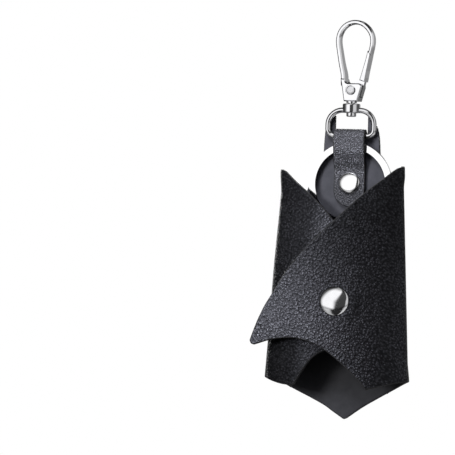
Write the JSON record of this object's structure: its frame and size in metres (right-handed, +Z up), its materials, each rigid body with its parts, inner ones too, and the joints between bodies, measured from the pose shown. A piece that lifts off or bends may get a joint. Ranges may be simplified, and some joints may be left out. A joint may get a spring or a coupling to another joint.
{
  "type": "leather key case with snap hook",
  "caption": "Wrap-around leather key case closed by a snap fastener, with a riveted strap, key ring, D-ring and swivel snap hook.",
  "frame": {"origin": "on the flat rear face of the back panel, on the swivel axis, at the height of the case's middle", "axes": "+Z up along the hanging length towards the hook, +Y out of the rear face, +X to the right seen from the front; the flap faces -Y"},
  "size_m": [0.0562, 0.0193, 0.1423],
  "materials": {
    "leather_body": "satin black pebbled grain outside, smooth dark slate inside",
    "leather_strap": "satin black pebbled grain",
    "rivet_chrome": "polished",
    "snap_chrome": "polished, fine wear",
    "snap_nickel": "satin nickel plate",
    "spring_steel": "satin",
    "ring_nickel": "polished",
    "hook_chrome": "polished",
    "gate_chrome": "polished",
    "pin_chrome": "polished, peened"
  },
  "bodies": {
    "hook": {"hook_body": "hook_chrome", "gate_pin": "pin_chrome", "gate_spring": "spring_steel"},
    "gate": {"gate": "gate_chrome"},
    "d_ring": {"d_ring": "hook_chrome"},
    "case_back": {"back_panel": "leather_body", "strap": "leather_strap", "strap_rivet_cap": "rivet_chrome", "strap_rivet_post": "rivet_chrome"},
    "front_flap": {"front_flap": "leather_body", "snap_cap": "snap_chrome", "snap_socket": "snap_nickel", "snap_spring": "spring_steel"},
    "inner_wing": {"inner_wing": "leather_body", "snap_stud": "snap_nickel", "snap_post": "snap_nickel"},
    "key_ring": {"key_ring": "ring_nickel"}
  },
  "joints": [
    {"name": "gate_hinge", "type": "hinge", "parent": "hook", "child": "gate", "pos_m": [0.00049, -0.00303, 0.0711], "axis": [-0.1564, -0.9877, 0], "range_deg": [0, 30], "stiffness_Nm_per_rad": 0.01, "springref_deg": -28.65, "deforming": ["gate_spring"]},
    {"name": "hook_swivel", "type": "hinge", "parent": "hook", "child": "d_ring", "pos_m": [0, -0.00295, 0.0648], "axis": [0, 0, 1], "continuous": true},
    {"name": "case_tilt", "type": "hinge", "parent": "d_ring", "child": "case_back", "pos_m": [0, -0.00295, 0.055], "axis": [1, 0, 0], "range_deg": [-120, 3]},
    {"name": "flap_open", "type": "hinge", "parent": "case_back", "child": "front_flap", "pos_m": [0.0225, -0.00763, 0], "axis": [-0.0598, 0.0551, 0.9967], "range_deg": [0, 150]},
    {"name": "wing_open", "type": "hinge", "parent": "case_back", "child": "inner_wing", "pos_m": [-0.0262, -0.00618, 0], "axis": [0.0499, 0.0551, 0.9972], "range_deg": [-60, 0]},
    {"name": "key_ring_spin", "type": "hinge", "parent": "case_back", "child": "key_ring", "pos_m": [0.0005, -0.0029, 0.0377], "axis": [0, -1, 0], "continuous": true}
  ],
  "couplings": [
    {"joint": "wing_open", "follows": "flap_open", "ratio": -0.4}
  ]
}
